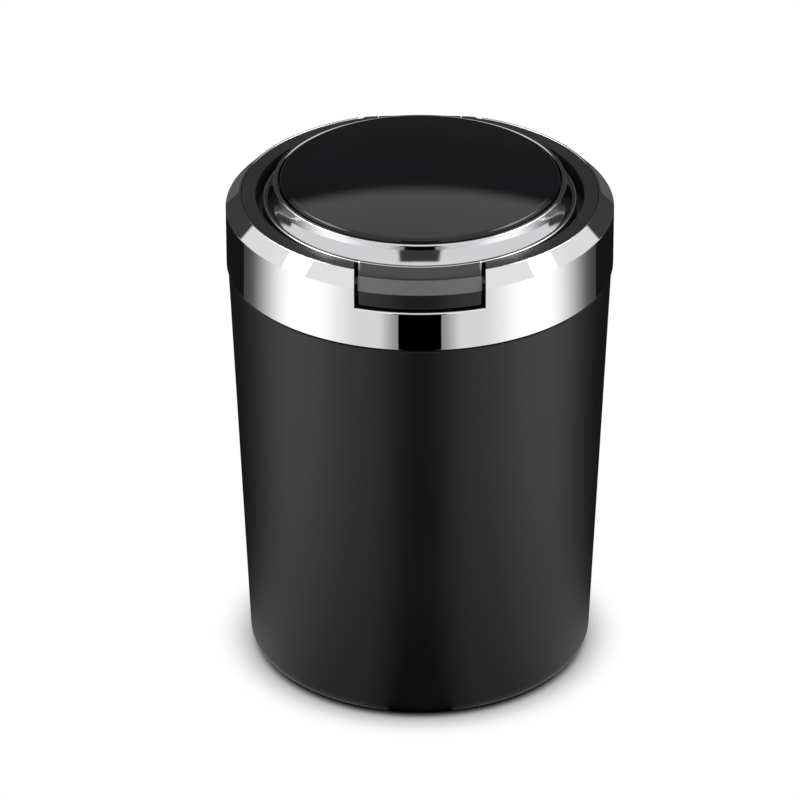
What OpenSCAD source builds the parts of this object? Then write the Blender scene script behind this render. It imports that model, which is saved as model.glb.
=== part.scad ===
// Car ashtray with a twist-off head and a hinged lid that holds a small lamp.
// Origin: centre of the foot, on the surface that it stands on. +Z is up and the lift tab points to -Y.

/* [Cup] */
// Diameter at the foot
base_d = 65; // [60:0.5:67]
// Height of the shoulder below the chrome ring
shoulder_h = 80; // [65:1:110]
// Rounding round the foot
foot_round = 3.5; // [2:0.25:5]
// Wall of the cup just above its floor
cup_wall = 2.5; // [2:0.1:3]
// Thickness of the cup's floor over the pad
cup_floor = 1.6; // [1.2:0.1:3]
// How far the shoulder lies inside the chrome ring's face
shoulder_inset = 0.3; // [0.1:0.05:0.5]

/* [Foot pad] */
// Diameter of the non-slip pad
pad_d = 52; // [40:1:54]
// Thickness of the pad
pad_t = 1.5; // [1:0.1:2]
// How far the pad stands out of the foot
pad_proud = 0.3; // [0.2:0.05:0.5]

/* [Chrome ring] */
// Diameter over the chrome ring
top_d = 72; // [71:0.5:78]
// Height of the chrome ring
ring_h = 14.15; // [13:0.05:17]
// Wall of the chrome ring
ring_wall = 0.9; // [0.8:0.05:1.1]
// Width and height of the chamfer round its top
ring_chamfer = 2.5; // [2:0.1:2.8]
// Width of the bright lip inside the chamfer
ring_lip = 0.35; // [0.25:0.05:0.6]
// Shadow gap between the ring and the shoulder
shadow_gap = 0.4; // [0.3:0.05:0.8]

/* [Twist lock] */
// Wall of the collar's skirt
skirt_wall = 0.9; // [0.8:0.05:1.1]
// Wall of the cup's neck
neck_wall = 1.7; // [1.6:0.05:2]
// Number of lugs inside the skirt
lug_count = 3; // [2:1:4]
// Diameter of a lug
lug_d = 2; // [1.6:0.1:2.4]
// How far a lug stands out of the skirt
lug_reach = 0.9; // [0.7:0.05:1]
// Height of the locked lugs above the shoulder
lug_rise = 2.4; // [2.2:0.1:2.8]
// Turn that frees the head, in degrees
turn_deg = 50; // [40:5:60]

/* [Ash liner] */
// Wall of the steel liner
liner_wall = 0.8; // [0.6:0.05:1]
// Height of its rolled rim
liner_rim = 1.2; // [1:0.1:1.5]
// Rounding between its wall and its floor
liner_round = 4; // [3:0.5:6]

/* [Collar] */
// Width of the flat deck inside the ring
deck_w = 2.55; // [2.2:0.05:2.9]
// How far the deck lies below the ring's lip
deck_drop = 0.1; // [0.05:0.05:0.3]
// Dark gap round the lid
lid_gap = 1.4; // [1:0.1:1.8]
// Width of the ledge under the lid's gasket
ledge_w = 3.3; // [3:0.1:3.6]
// Depth of the step that takes the dish
dish_step = 1.6; // [1.4:0.1:2]
// Width of the step that takes the dish
step_w = 2.6; // [2.5:0.1:3]
// Thickness of the collar under that step
step_t = 1; // [0.8:0.1:1.4]
// Thickness of the silicone ring under the collar
seal_t = 1.05; // [0.9:0.05:1.4]
// Width of that ring
seal_w = 1.2; // [1:0.1:1.3]

/* [Lid] */
// How far the rim lies below the deck
lid_drop = 0.6; // [0.4:0.05:1]
// Thickness of the rim
rim_t = 2.35; // [2.2:0.05:2.8]
// Width of the flat rim outside the chrome bevel
rim_w = 0.7; // [0.5:0.05:1]
// Width of the chrome bevel on the slope
bevel_w = 1.25; // [1:0.05:1.5]
// Height of the chrome bevel
bevel_h = 3.4; // [3:0.1:4]
// Width of the bevel's top edge
bevel_edge = 0.85; // [0.7:0.05:1]
// Height of the domed disc's crown above the bevel
crown_h = 2.75; // [2.2:0.05:4]
// Rounding of the disc's edge
disc_round = 0.9; // [0.6:0.1:1.2]
// Wall of the disc
disc_wall = 1.8; // [1.5:0.1:2]
// Wall of the upstand that carries the disc
upstand_wall = 1.8; // [1.5:0.1:2]

/* [Lift tab] */
// Width of the lift tab
tab_w = 22.6; // [18:0.2:26]
// Gap at each side of the tab
tab_gap = 0.6; // [0.4:0.05:0.8]
// How far the tab's face lies inside the ring's face
tab_inset = 0.8; // [0.6:0.05:1]
// Width of the tab's chamfer
tab_chamfer_w = 1.45; // [1.2:0.05:1.8]
// Height of the tab's chamfer
tab_chamfer_h = 2.7; // [2.2:0.1:3]
// Wall of the tab's front
tab_wall = 1.25; // [1.1:0.05:1.3]
// Height of the notch's sill above the bottom of the ring
sill_h = 7.6; // [7.4:0.1:8.4]

/* [Hinge] */
// Distance of the hinge axis from the ring's face
hinge_back = 4.8; // [4.7:0.05:5.2]
// Depth of the hinge axis below the deck
hinge_drop = 2.3; // [2.2:0.05:2.5]
// Diameter of the barrel at its middle
barrel_d = 5.2; // [5:0.05:5.4]
// How much slimmer the barrel is at its ends
barrel_crown = 0.5; // [0.2:0.05:0.6]
// Width of the lid's knuckle
knuckle_w = 15.5; // [12:0.5:17]
// Width of each ear of the collar
ear_w = 3.2; // [2.8:0.1:3.6]
// Diameter of the hinge pin
pin_d = 1.8; // [1.5:0.05:2]
// Gap beside the knuckle
side_gap = 0.2; // [0.15:0.05:0.3]

/* [Dish] */
// Wall of the dish's cone and floor
dish_wall = 1.2; // [1:0.1:1.4]
// Thickness of the dish's flange
flange_t = 0.8; // [0.6:0.1:0.9]
// Depth of the dish below its flange
dish_h = 6.8; // [5.5:0.1:8]
// Diameter of the dish's floor
dish_floor_d = 38.8; // [38:0.2:40]
// Diameter of the ash mouth
mouth_d = 23; // [20:0.5:24]
// How far the mouth lies in front of the middle
mouth_y = 5; // [4.5:0.1:5.5]
// Inner diameter of the snuffer tube
snuff_d = 8.8; // [8.2:0.1:9.2]
// Wall of the snuffer tube
snuff_wall = 0.8; // [0.7:0.05:1]
// Length of the snuffer tube below the dish
snuff_h = 16; // [10:1:24]
// How far the tube lies behind the middle
snuff_y = 12.6; // [12.2:0.1:12.8]
// Distance of each cigarette rest from the middle
rest_x = 14.2; // [13.6:0.1:14.6]
// Width of a cigarette rest
rest_w = 10.6; // [10:0.1:11]
// Height of a cigarette rest above the dish's floor
rest_h = 4.8; // [4:0.1:5]
// Diameter of the round notch in a cigarette rest
notch_d = 8.2; // [7.6:0.1:8.4]

/* [Lamp in the lid] */
// Thickness of the inner cover
cover_t = 1.4; // [1.3:0.05:1.5]
// Diameter of the flat battery
cell_d = 20; // [19.5:0.1:20.5]
// Height of the flat battery
cell_h = 3.2; // [2.5:0.1:3.3]
// Room between the battery's bay and the lid's inner wall
cell_side = 3.1; // [2.6:0.1:3.6]
// Thickness of the circuit board
board_t = 0.8; // [0.6:0.1:0.9]
// Number of light chips
led_count = 3; // [2:1:4]
// Radius on which the light chips lie
led_r = 14.7; // [14.2:0.1:15]
// Radial width of the lamp's window
lens_w = 5.2; // [4.6:0.1:5.6]
// Half the angle that the window spans, in degrees
lens_half = 35; // [28:1:36]
// Diameter of the tilt switch
switch_d = 3.2; // [2.6:0.1:3.3]
// Length of the tilt switch
switch_l = 6.5; // [5:0.5:8]
// Room between the tilt switch and the battery's bay
switch_side = 2.4; // [1.5:0.1:2.8]
// Length of a light chip
chip_l = 3.5; // [2.8:0.1:3.5]
// Width of a light chip
chip_w = 2.8; // [2:0.1:3]
// Height of a light chip
chip_t = 1.2; // [0.6:0.1:1.4]
// Width of the leaf above the battery
leaf_w = 4; // [3:0.5:6]
// Length of each half of that leaf
leaf_l = 6; // [4:0.5:8]

/* [Screws] */
// Diameter of the screws' heads
head_d = 2.3; // [2:0.1:2.3]
// Height of the screws' heads
head_h = 0.7; // [0.5:0.05:0.7]
// Diameter of the screws' shanks
shank_d = 1.4; // [1.2:0.1:1.5]
// Length of the screws below their heads
screw_l = 3.6; // [3:0.1:4]

/* [Fits] */
// Gap between pressed or clipped parts
fit_gap = 0.1; // [0.05:0.01:0.12]
// Gap between the neck and the turning skirt
turn_gap = 0.2; // [0.15:0.05:0.25]
// Gap round a lug in its groove
groove_gap = 0.15; // [0.12:0.01:0.2]
// Gap between the liner and the neck
liner_gap = 0.25; // [0.2:0.05:0.3]
// Gap under the lid's gasket and under the silicone ring
seat_gap = 0.2; // [0.1:0.05:0.25]
// Running gap round the hinge pin
pin_gap = 0.05; // [0.03:0.01:0.08]
// Gap round the barrel in the collar
barrel_gap = 0.35; // [0.3:0.05:0.4]

/* [Hidden] */
$fn = 96;
eps = 0.01;
far = 200;

// Radii of the rings that lie inside each other, from the chrome face inwards
ring_r = top_d / 2;
ring_in_r = ring_r - ring_wall;
skirt_r = ring_in_r - fit_gap;
skirt_in_r = skirt_r - skirt_wall;
neck_r = skirt_in_r - turn_gap;
neck_in_r = neck_r - neck_wall;
liner_r = neck_in_r - liner_gap;
shoulder_r = ring_r - shoulder_inset;
base_r = base_d / 2;
pad_r = pad_d / 2;
seal_out_r = neck_r - 0.6;

// Heights, from the foot up
foot_z = pad_proud;
floor_z = pad_t + cup_floor;
ring_z = shoulder_h + shadow_gap;
ring_top_z = ring_z + ring_h;
deck_z = ring_top_z - deck_drop;
rim_z = deck_z - lid_drop;
frame_z = rim_z - rim_t;
gasket_proud = 0.7;
gasket_hold = 0.6;
gasket_z = frame_z - gasket_proud;
ledge_z = gasket_z - seat_gap;
step_z = ledge_z - dish_step;
under_z = step_z - step_t;
seal_hold = 0.75;
seal_top_z = under_z + seal_hold;
seal_z = seal_top_z - seal_t;
liner_top_z = seal_z - seat_gap / 2;
neck_top_z = liner_top_z - liner_rim;
sill_z = ring_z + sill_h;
bevel_top_z = rim_z + bevel_h;
crown_z = bevel_top_z + crown_h;

// Radii of the opening in the collar and of the lid
lip_r = ring_r - ring_chamfer - ring_lip;
deck_r = lip_r - fit_gap;
deck_in_r = deck_r - deck_w;
lid_r = deck_in_r - lid_gap;
step_out_r = deck_in_r - ledge_w;
step_in_r = step_out_r - step_w;
bevel_r = lid_r - rim_w;
bevel_top_r = bevel_r - bevel_w;
bevel_in_r = bevel_top_r - bevel_edge;
disc_r = bevel_in_r - 3 * fit_gap;
upstand_r = bevel_in_r - fit_gap;
upstand_in_r = upstand_r - upstand_wall;
pocket_step = 1.3;
pocket_r = upstand_in_r - pocket_step;
cover_r = step_in_r - 0.3;
gasket_in_r = step_out_r + 0.1;
gasket_w = 1.2;

// Twist lock: how high the lugs climb before they leave the neck
lug_r = lug_d / 2;
lug_z = shoulder_h + lug_rise;
lug_tip_r = skirt_in_r - lug_reach;
lift_h = neck_top_z - lug_z + lug_r + 0.2;

// Chamfers of the ring's inner face and of the collar under it
bend = tan(22.5);
ring_edge_z = ring_top_z - ring_chamfer;
ring_in_edge_z = ring_edge_z - ring_wall * bend;
collar_edge_z = ring_in_edge_z - fit_gap * bend;

// Hinge and lift tab
hinge_y = ring_r - hinge_back;
hinge_z = deck_z - hinge_drop;
barrel_r = barrel_d / 2;
block_w = knuckle_w + 2 * (side_gap + ear_w);
notch_w = tab_w + 2 * tab_gap;
rear_w = block_w + 2 * tab_gap;
tab_r = ring_r - tab_inset;
tab_in_r = tab_r - tab_wall;
tab_low_z = sill_z + 0.35;
tab_plate = 1.65;
tab_edge = 0.3;

// Dish
dish_r = step_out_r - 2 * fit_gap;
cone_r = step_in_r - 0.3;
dish_floor_r = dish_floor_d / 2;
dish_z = step_z - dish_h;
insert_screw_r = (step_out_r + step_in_r) / 2;
screw_r = shank_d / 2;
screw_hole_r = screw_r + fit_gap / 2;
boss_wall = 1.3;
screw_boss_r = screw_r + boss_wall;
insert_screws_n = 3;
insert_screws_a = 30;

// Lid's inner pieces, from the inner cover up
cover_z = frame_z - cover_t;
cell_z = frame_z - fit_gap;
contact_h = 0.4;
touch_gap = 0.03;
board_z = cell_z + cell_h + contact_h;
cell_r = cell_d / 2;
bay_gap = 0.3;
bay_wall = 1.2;
bay_in_r = cell_r + bay_gap;
bay_r = bay_in_r + bay_wall;
cell_y = pocket_r - cell_side - bay_r;
boss_sink = 0.3;
lid_screw_r = pocket_r - screw_boss_r + boss_sink;
lid_screws_n = 4;
lid_screws_a = 45;
hatch_lap = 2.2;
hatch_r = cell_r + hatch_lap;
hatch_ear_r = 3;
hatch_ear_x = hatch_r + hatch_ear_r / 3;
hatch_t = 0.75;
lens_t = 0.8;
lens_flange = 0.9;
lens_in_r = led_r - lens_w / 2;
lens_out_r = led_r + lens_w / 2;
board_r = upstand_in_r - 0.5;

function arc(centre, r, from, to, n = 8) =
    [for (i = [0 : n]) let (a = from + (to - from) * i / n) centre + r * [cos(a), sin(a)]];

// Copies of a piece round the axis: n of them on radius r, the first at angle a
module ring_of(n, r = 0, a = 0) {
    for (k = [0 : n - 1]) rotate(a + k * 360 / n) translate([r, 0, 0]) children();
}

// A ring of rectangular section
module band(r_out, r_in, low, high) {
    translate([0, 0, low]) difference() {
        cylinder(r = r_out, h = high - low);
        translate([0, 0, -eps]) cylinder(r = r_in, h = high - low + 2 * eps);
    }
}

// A box given by its lowest and highest corners
module block(low, high) {
    translate(low) cube(high - low);
}

// A round bar along X
module bar_x(r, from, to) {
    translate([from, hinge_y, hinge_z]) rotate([0, 90, 0]) cylinder(r = r, h = to - from);
}

// A pan-head screw that points down from the face at z = 0, or up when flipped
module screw() {
    cylinder(r = head_d / 2, h = head_h);
    translate([0, 0, -screw_l]) cylinder(r = screw_r, h = screw_l + eps);
}

// The cup's side: foot rounding, taper and the stepped neck
module outer_shell() {
    bore_low_r = base_r - cup_wall;
    bore_round = liner_round + liner_gap;
    color([0.07, 0.07, 0.08]) difference() {
        rotate_extrude() difference() {
            polygon(concat(
                [[0, foot_z]],
                arc([base_r - foot_round, foot_z + foot_round], foot_round, -90, -2),
                [[shoulder_r, shoulder_h - 0.3], [shoulder_r - 0.3, shoulder_h], [neck_r, shoulder_h],
                 [neck_r, neck_top_z - 0.3], [neck_r - 0.3, neck_top_z], [0, neck_top_z]]
            ));
            polygon(concat(
                [[0, floor_z]],
                arc([bore_low_r - bore_round, floor_z + bore_round], bore_round, -90, 0),
                [[neck_in_r, shoulder_h], [neck_in_r, neck_top_z + 1], [0, neck_top_z + 1]]
            ));
        }
        translate([0, 0, -1]) cylinder(r = pad_r + fit_gap, h = 1 + pad_t);
        ring_of(lug_count) lug_groove();
    }
}

// One rising groove: a tilted slab that cuts a band out of the neck.
// Over so short a turn its path on the round neck stays within 0.05 mm of an even rise.
module lug_groove() {
    floor_r = lug_tip_r - groove_gap;
    high = lug_d + 2 * groove_gap;
    half_run = (floor_r + neck_r) / 2 * sin(turn_deg / 2);
    half_long = norm([half_run, lift_h / 2]) + high / 2;
    intersection() {
        band(neck_r + 1, floor_r, shoulder_h, far);
        rotate(turn_deg / 2) translate([0, 0, lug_z + lift_h / 2])
            rotate([atan2(lift_h / 2, half_run), 0, 0])
                block([neck_r / 2, -half_long, -high / 2], [neck_r + 2, half_long, high / 2]);
    }
}

module base_pad() {
    ribs = 4;
    color([0.13, 0.13, 0.14]) difference() {
        cylinder(r = pad_r, h = pad_t);
        // Shallow rings in the underside, for grip
        for (i = [1 : ribs]) band(pad_r * i / (ribs + 1) + 0.6, pad_r * i / (ribs + 1) - 0.6, -eps, 0.4);
    }
}

// Drawn liner: a wall of even thickness, a round bottom corner and a rolled rim
module ash_liner() {
    low_z = floor_z + 2 * seat_gap;
    low_r = base_r - cup_wall - 2 * liner_gap;
    rim_r = liner_rim / 2;
    rim_mid_r = lug_tip_r - groove_gap - rim_r;
    in_round = liner_round - liner_wall;
    color([0.75, 0.75, 0.76]) rotate_extrude() {
        difference() {
            polygon(concat(
                [[0, low_z]],
                arc([low_r - liner_round, low_z + liner_round], liner_round, -90, 0),
                [[liner_r, shoulder_h], [liner_r, liner_top_z], [0, liner_top_z]]
            ));
            polygon(concat(
                [[0, low_z + liner_wall]],
                arc([low_r - liner_round, low_z + liner_round], in_round, -90, 0),
                [[liner_r - liner_wall, shoulder_h], [liner_r - liner_wall, liner_top_z + 1],
                 [0, liner_top_z + 1]]
            ));
        }
        translate([liner_r - liner_wall, liner_top_z - rim_r])
            square([rim_mid_r - liner_r + liner_wall, rim_r]);
        translate([rim_mid_r, liner_top_z - rim_r]) circle(r = rim_r);
    }
}

module head_seal() {
    color([0.2, 0.2, 0.21]) band(seal_out_r, seal_out_r - seal_w, seal_z, seal_top_z);
}

// Thin chromed shell with its chamfer and both notches
module trim_ring() {
    color([0.85, 0.86, 0.88]) difference() {
        rotate_extrude() polygon([
            [ring_r, ring_z], [ring_r, ring_edge_z], [ring_r - ring_chamfer, ring_top_z],
            [lip_r, ring_top_z],
            [lip_r, ring_in_edge_z + ring_in_r - lip_r],
            [ring_in_r, ring_in_edge_z], [ring_in_r, ring_z]
        ]);
        block([-notch_w / 2, -far, sill_z], [notch_w / 2, 0, far]);
        block([-rear_w / 2, 0, hinge_z - barrel_r - 0.6], [rear_w / 2, far, far]);
    }
}

// Side of the collar as a section: skirt, deck, inner wall, ledge, dish step and seal channel
module collar_section() {
    polygon([
        [skirt_r, ring_z + 0.4], [skirt_r, collar_edge_z], [deck_r, collar_edge_z + skirt_r - deck_r],
        [deck_r, deck_z], [deck_in_r, deck_z], [deck_in_r, ledge_z], [step_out_r, ledge_z],
        [step_out_r, step_z], [step_in_r, step_z], [step_in_r, under_z],
        [seal_out_r - seal_w - fit_gap, under_z], [seal_out_r - seal_w - fit_gap, seal_top_z],
        [seal_out_r + fit_gap, seal_top_z], [seal_out_r + fit_gap, under_z - 0.2],
        [skirt_in_r, under_z - 0.2], [skirt_in_r, ring_z + 0.4]
    ]);
}

module collar() {
    wall_r = neck_r - 0.3;
    boss_h = 3;
    color([0.1, 0.1, 0.11]) {
        difference() {
            union() {
                rotate_extrude() collar_section();
                for (side = [-1, 1]) ear(side);
                ring_of(insert_screws_n, insert_screw_r, insert_screws_a)
                    translate([0, 0, under_z - boss_h]) cylinder(r = screw_boss_r, h = boss_h + eps);
            }
            // Front notch: the skirt goes down to the sill, the wall behind it stays under the tab's plate
            intersection() {
                block([-notch_w / 2, -far, sill_z], [notch_w / 2, 0, far]);
                union() {
                    band(far, wall_r, 0, far);
                    translate([0, 0, rim_z - tab_plate - 0.4]) cylinder(r = far, h = far);
                }
            }
            knuckle_room();
            // The pin goes in from the side, and the chrome ring then keeps it in place
            bar_x(pin_d / 2 + pin_gap, -block_w / 2, ring_r);
            ring_of(insert_screws_n, insert_screw_r, insert_screws_a) cylinder(r = screw_hole_r, h = far);
        }
        ring_of(lug_count, lug_tip_r) translate([0, 0, lug_z]) rotate([0, 90, 0])
            cylinder(r = lug_r, h = skirt_r - lug_tip_r - skirt_wall / 2);
    }
}

// Outline of half the hinge barrel: slimmer and rounded towards its end
module barrel_body(from, to) {
    half = block_w / 2;
    corner = 1;
    end_r = barrel_r - barrel_crown / 2;
    intersection() {
        translate([0, hinge_y, hinge_z]) rotate([0, 90, 0]) rotate_extrude() polygon(concat(
            [[0, -half]],
            arc([end_r - corner, corner - half], corner, -90, 0, 5),
            [for (i = [-4 : 4]) [barrel_r - barrel_crown / 2 * pow(i / 5, 2), i / 5 * half]],
            arc([end_r - corner, half - corner], corner, 0, 90, 5),
            [[0, half]]
        ));
        block([from, 0, 0], [to, far, far]);
    }
}

// Ear of the collar beside the knuckle
module ear(side) {
    low = knuckle_w / 2 + side_gap;
    high = block_w / 2;
    from = side > 0 ? low : -high;
    barrel_body(from, from + high - low);
    // Foot of the ear, down through the collar's wall behind the lid
    intersection() {
        block([from, 0, ledge_z], [from + high - low, hinge_y, hinge_z]);
        band(skirt_r, deck_in_r, 0, far);
    }
}

// Room in which the lid's knuckle and arm turn
module knuckle_room() {
    half = knuckle_w / 2 + side_gap;
    room_r = barrel_r + barrel_gap;
    bar_x(room_r, -half, half);
    block([-half, hinge_y - room_r, hinge_z], [half, far, far]);
    block([-half, hinge_y, hinge_z - room_r], [half, far, far]);
}

module hinge_pin() {
    color([0.7, 0.7, 0.72]) bar_x(pin_d / 2, -block_w / 2 + 0.2, block_w / 2 + 0.8);
}

// Cast dish: flange, cone, floor with the ash mouth, snuffer tube and two cigarette rests
module rest_insert() {
    snuff_r = snuff_d / 2;
    color([0.6, 0.6, 0.62]) difference() {
        union() {
            rotate_extrude() polygon([
                [0, dish_z], [dish_floor_r, dish_z], [cone_r, step_z], [dish_r, step_z],
                [dish_r, step_z + flange_t], [cone_r - dish_wall, step_z + flange_t],
                [dish_floor_r - dish_wall, dish_z + dish_wall], [0, dish_z + dish_wall]
            ]);
            translate([0, snuff_y, dish_z - snuff_h])
                cylinder(r = snuff_r + snuff_wall, h = snuff_h + eps);
            translate([0, -mouth_y, dish_z - 1.4]) cylinder(r = mouth_d / 2 + dish_wall, h = 1.4 + eps);
            for (side = [-1, 1]) cigarette_rest(side);
        }
        translate([0, -mouth_y, dish_z - 5]) cylinder(r = mouth_d / 2, h = far);
        translate([0, snuff_y, dish_z - snuff_h - 1]) cylinder(r = snuff_r, h = far);
        ring_of(insert_screws_n, insert_screw_r, insert_screws_a) cylinder(r = screw_r + fit_gap, h = far);
    }
}

// An upright on the dish's floor with a round notch that holds a cigarette
module cigarette_rest(side) {
    low_z = dish_z + dish_wall - eps;
    top_z = dish_z + dish_wall + rest_h;
    translate([side * rest_x, -mouth_y / 2, 0]) difference() {
        block([-dish_wall / 2, -rest_w / 2, low_z], [dish_wall / 2, rest_w / 2, top_z]);
        translate([-5, 0, top_z]) rotate([0, 90, 0]) cylinder(d = notch_d, h = 10);
    }
}

module insert_screws() {
    color([0.7, 0.7, 0.72]) ring_of(insert_screws_n, insert_screw_r, insert_screws_a)
        translate([0, 0, step_z + flange_t]) screw();
}

// Lid moulding: rim, upstand, bosses, lift tab and hinge knuckle
module lid_frame() {
    knuckle = knuckle_w / 2;
    color([0.12, 0.12, 0.13]) difference() {
        union() {
            rotate_extrude() difference() {
                polygon([
                    [pocket_r, frame_z], [lid_r - 0.25, frame_z], [lid_r, frame_z + 0.25],
                    [lid_r, rim_z - 0.2], [lid_r - 0.2, rim_z], [upstand_r, rim_z],
                    [upstand_r, bevel_top_z - 1.6], [upstand_in_r, bevel_top_z - 1.6],
                    [upstand_in_r, rim_z - 0.6], [pocket_r, rim_z - 0.6]
                ]);
                translate([gasket_in_r - fit_gap / 2, frame_z - 1])
                    square([gasket_w + fit_gap, 1 + gasket_hold]);
            }
            lift_tab();
            barrel_body(-knuckle, knuckle);
            intersection() {
                block([-knuckle, lid_r - 2, frame_z], [knuckle, hinge_y, rim_z]);
                difference() {
                    cylinder(r = hinge_y, h = far);
                    cylinder(r = lid_r - 0.4, h = far);
                }
            }
            ring_of(lid_screws_n, lid_screw_r, lid_screws_a) translate([0, 0, frame_z])
                cylinder(r = screw_boss_r, h = board_z - frame_z);
        }
        bar_x(pin_d / 2 + pin_gap, -knuckle - 1, knuckle + 1);
        ring_of(lid_screws_n, lid_screw_r, lid_screws_a) cylinder(r = screw_hole_r, h = far);
    }
}

// Front lip of the lid: flat plate, chamfer and a face that hangs down to the notch's sill
module lift_tab() {
    chamfer_r = tab_r - tab_chamfer_w;
    face_z = rim_z - tab_chamfer_h;
    intersection() {
        rotate_extrude() polygon([
            [lid_r - 1.5, rim_z], [chamfer_r - tab_edge, rim_z],
            [chamfer_r + tab_edge * 0.5, rim_z - tab_edge],
            [tab_r - tab_edge * 0.5, face_z + tab_edge], [tab_r, face_z - tab_edge],
            [tab_r, tab_low_z + 0.3], [tab_r - 0.3, tab_low_z],
            [tab_in_r, tab_low_z], [tab_in_r, face_z], [tab_in_r - 0.25, rim_z - tab_plate],
            [lid_r - 1.5, rim_z - tab_plate]
        ]);
        block([-tab_w / 2, -far, 0], [tab_w / 2, 0, far]);
    }
}

// Chromed cove between the lid's rim and its disc
module lid_bezel() {
    rise = bevel_h - 0.3;
    cove = [for (i = [0 : 8]) let (t = i / 8)
        [bevel_r - bevel_w * t - 0.22 * sin(180 * t), rim_z + rise * t]];
    color([0.8, 0.81, 0.83]) rotate_extrude() polygon(concat(
        [[upstand_r + fit_gap, rim_z]],
        cove,
        arc([bevel_top_r - 0.3, bevel_top_z - 0.3], 0.3, 0, 90, 4),
        [[bevel_in_r + 0.15, bevel_top_z], [bevel_in_r, bevel_top_z - 0.2]]
    ));
}

// Gloss disc: a shallow dome with a rounded edge, hollow below
module lid_disc() {
    low_z = bevel_top_z - 1.6;
    edge_z = bevel_top_z - 0.25;
    shoulder_z = edge_z + disc_round;
    dome_r = disc_r - disc_round;
    rise = crown_z - shoulder_z;
    sphere_r = (dome_r * dome_r + rise * rise) / (2 * rise);
    edge_a = asin(dome_r / sphere_r);
    in_r = sphere_r - disc_wall;
    hollow_r = upstand_in_r + 0.2;
    hollow_a = asin(hollow_r / in_r);
    centre = [0, crown_z - sphere_r];
    color([0.02, 0.02, 0.025]) rotate_extrude() difference() {
        polygon(concat(
            [[0, low_z], [disc_r, low_z]],
            arc([disc_r - disc_round, edge_z], disc_round, 0, 90 - edge_a, 6),
            arc(centre, sphere_r, 90 - edge_a, 90, 14)
        ));
        polygon(concat(
            [[0, low_z - 1], [hollow_r, low_z - 1]],
            arc(centre, in_r, 90 - hollow_a, 90, 10)
        ));
    }
}

module lid_gasket() {
    color([0.25, 0.25, 0.26]) band(gasket_in_r + gasket_w, gasket_in_r, gasket_z, frame_z + gasket_hold);
}

// A sector of a ring, centred on the front of the lid
module front_sector(r_out, r_in, half, low, high) {
    translate([0, 0, low]) rotate(270 - half) rotate_extrude(angle = 2 * half)
        translate([r_in, 0]) square([r_out - r_in, high - low]);
}

// Outline of the battery's cover: a disc with one ear for its screw
module hatch(grow, low, high) {
    translate([0, cell_y, low]) {
        cylinder(r = hatch_r + grow, h = high - low);
        translate([hatch_ear_x, 0, 0]) cylinder(r = hatch_ear_r + grow, h = high - low);
    }
}

// Inner cover: plate, battery bay and screw seats
module lid_inner() {
    color([0.16, 0.16, 0.17]) difference() {
        union() {
            translate([0, 0, cover_z]) cylinder(r = cover_r, h = cover_t);
            translate([0, cell_y, 0]) band(bay_r, bay_in_r - 1, frame_z - eps, board_z - bay_gap * 2);
            translate([hatch_ear_x, cell_y, frame_z - eps]) cylinder(r = 1.8, h = 2.6);
        }
        translate([0, cell_y, cover_z - 1]) cylinder(r = bay_in_r, h = far);
        hatch(fit_gap, cover_z - 1, cover_z + hatch_t + fit_gap / 2);
        front_sector(lens_out_r, lens_in_r, lens_half, cover_z - 1, frame_z + 1);
        ring_of(lid_screws_n, lid_screw_r, lid_screws_a) {
            translate([0, 0, cover_z - 1]) cylinder(r = head_d / 2 + fit_gap, h = 1 + head_h);
            cylinder(r = screw_r + fit_gap, h = far);
        }
        translate([hatch_ear_x, cell_y, 0]) cylinder(r = screw_hole_r, h = far);
    }
}

module lid_screws() {
    color([0.7, 0.7, 0.72]) ring_of(lid_screws_n, lid_screw_r, lid_screws_a)
        translate([0, 0, cover_z + head_h]) mirror([0, 0, 1]) screw();
}

module light_lens() {
    turn = 0.4;
    color([0.8, 0.88, 0.95]) {
        front_sector(lens_out_r - fit_gap, lens_in_r + fit_gap, lens_half - turn, cover_z, frame_z + eps);
        front_sector(lens_out_r + lens_flange, lens_in_r - lens_flange, lens_half + 2,
            frame_z, frame_z + lens_t);
    }
}

module led_board() {
    color([0.05, 0.3, 0.14]) translate([0, 0, board_z]) cylinder(r = board_r, h = board_t);
}

module leds() {
    spread = 25;
    color([0.95, 0.93, 0.8]) for (k = [0 : led_count - 1])
        rotate((k - (led_count - 1) / 2) * 2 * spread / max(led_count - 1, 1))
            translate([-chip_l / 2, -led_r - chip_w / 2, board_z - chip_t]) cube([chip_l, chip_w, chip_t]);
}

module tilt_switch() {
    switch_x = bay_r + switch_side + switch_d / 2;
    color([0.78, 0.75, 0.6]) translate([-switch_x, switch_l / 2, board_z - switch_d / 2])
        rotate([90, 0, 0]) cylinder(d = switch_d, h = switch_l);
}

module coin_cell() {
    cap = 0.3;
    color([0.78, 0.78, 0.8]) translate([0, cell_y, cell_z]) {
        cylinder(r = cell_r, h = cell_h - cap);
        cylinder(r = cell_r - 1.2, h = cell_h);
    }
}

// Plus contact: a strip that grips the battery's side
module cell_clip() {
    half = 20;
    low_z = cell_z + bay_gap * 2;
    color([0.85, 0.78, 0.5]) translate([0, cell_y, low_z]) rotate(180 - half)
        rotate_extrude(angle = 2 * half) translate([cell_r + touch_gap, 0])
            square([bay_gap - 2 * touch_gap, board_z - low_z]);
}

// Minus contact: a bent leaf between the battery and the board
module cell_leaf() {
    leaf_t = 0.2;
    low = touch_gap - contact_h;
    color([0.85, 0.78, 0.5]) translate([0, cell_y + leaf_w / 2, board_z]) rotate([90, 0, 0])
        linear_extrude(height = leaf_w) polygon([
            [-leaf_l, 0], [0, 0], [leaf_l, low + leaf_t], [leaf_l, low], [0, -leaf_t], [-leaf_l, -leaf_t]
        ]);
}

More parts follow.
